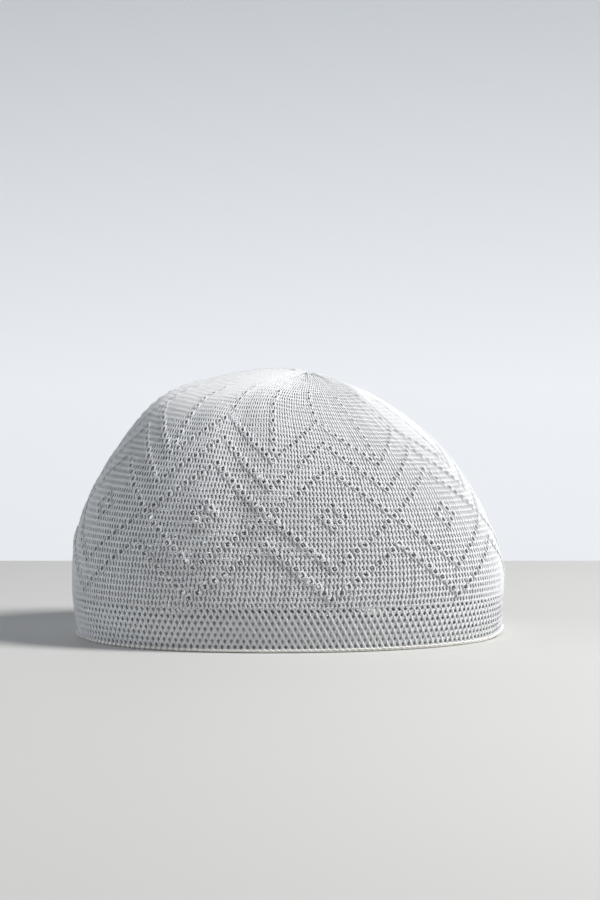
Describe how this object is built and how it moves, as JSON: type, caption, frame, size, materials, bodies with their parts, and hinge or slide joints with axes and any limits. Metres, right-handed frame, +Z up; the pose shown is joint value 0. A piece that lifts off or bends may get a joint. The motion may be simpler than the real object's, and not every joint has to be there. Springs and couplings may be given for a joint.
{
  "type": "knitted chechia skull cap",
  "caption": "Close-fitting dome-shaped skull cap of white openwork cotton knit with zigzag eyelet lines, open at the rim, worn on the crown of the head.",
  "frame": {"origin": "under the middle of the cap's outer box, in the plane that the rim stands on", "axes": "+X to the brow (front), +Y to the wearer's left, +Z up to the crown; the picture shows the wearer's right side, from -Y"},
  "size_m": [0.2001, 0.1564, 0.123],
  "materials": {
    "white_cotton_knit": "matt white cotton yarn, openwork machine knit"
  },
  "bodies": {
    "root": {"knitted_cap": "white_cotton_knit"}
  },
  "joints": []
}
